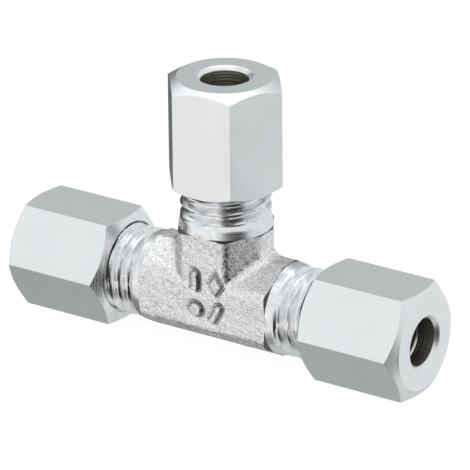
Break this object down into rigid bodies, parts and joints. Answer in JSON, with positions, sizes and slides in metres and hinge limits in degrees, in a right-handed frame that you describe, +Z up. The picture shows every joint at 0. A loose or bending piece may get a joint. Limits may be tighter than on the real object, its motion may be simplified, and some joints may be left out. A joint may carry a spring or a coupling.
{
  "type": "compression fitting",
  "caption": "Equal tee compression fitting with threaded 24-degree cone ports, loose cutting rings and hexagon nuts that screw off along each arm.",
  "frame": {"origin": "on the surface that the lower flats of the two run nuts stand on, straight below the crossing of the three port axes, which is 7 mm up", "axes": "+X along the run towards the right port, +Z up along the branch, +Y to the back; the face with the raised marks looks to -Y"},
  "size_m": [0.06, 0.0162, 0.037],
  "materials": {
    "forged_steel": "bright zinc plating over a forged, shot-blasted skin; turned ports",
    "plated_nut": "smooth bright zinc plating, turned end faces and cold-drawn flats",
    "ring_steel": "plain turned and hardened steel with a light plating"
  },
  "bodies": {
    "tee": {"tee_body": "forged_steel"},
    "right_ring": {"cutting_ring_right": "ring_steel"},
    "right_nut": {"nut_right": "plated_nut"},
    "left_ring": {"cutting_ring_left": "ring_steel"},
    "left_nut": {"nut_left": "plated_nut"},
    "top_ring": {"cutting_ring_top": "ring_steel"},
    "top_nut": {"nut_top": "plated_nut"}
  },
  "joints": [
    {"name": "right_ring_slide", "type": "slide", "parent": "tee", "child": "right_ring", "axis": [1, 0, 0], "range_m": [0, 0.004]},
    {"name": "right_nut_turn", "type": "hinge", "parent": "right_ring", "child": "right_nut", "pos_m": [0.0225, 0, 0.007], "axis": [1, 0, 0], "range_deg": [0, 960]},
    {"name": "left_ring_slide", "type": "slide", "parent": "tee", "child": "left_ring", "axis": [-1, 0, 0], "range_m": [0, 0.004]},
    {"name": "left_nut_turn", "type": "hinge", "parent": "left_ring", "child": "left_nut", "pos_m": [-0.0225, 0, 0.007], "axis": [-1, 0, 0], "range_deg": [0, 960]},
    {"name": "top_ring_slide", "type": "slide", "parent": "tee", "child": "top_ring", "axis": [0, 0, 1], "range_m": [0, 0.004]},
    {"name": "top_nut_turn", "type": "hinge", "parent": "top_ring", "child": "top_nut", "pos_m": [0, 0, 0.0295], "axis": [0, 0, 1], "range_deg": [0, 960]}
  ],
  "couplings": [
    {"joint": "right_ring_slide", "follows": "right_nut_turn", "m_per_rad": 0.00023873},
    {"joint": "left_ring_slide", "follows": "left_nut_turn", "m_per_rad": 0.00023873},
    {"joint": "top_ring_slide", "follows": "top_nut_turn", "m_per_rad": 0.00023873}
  ]
}
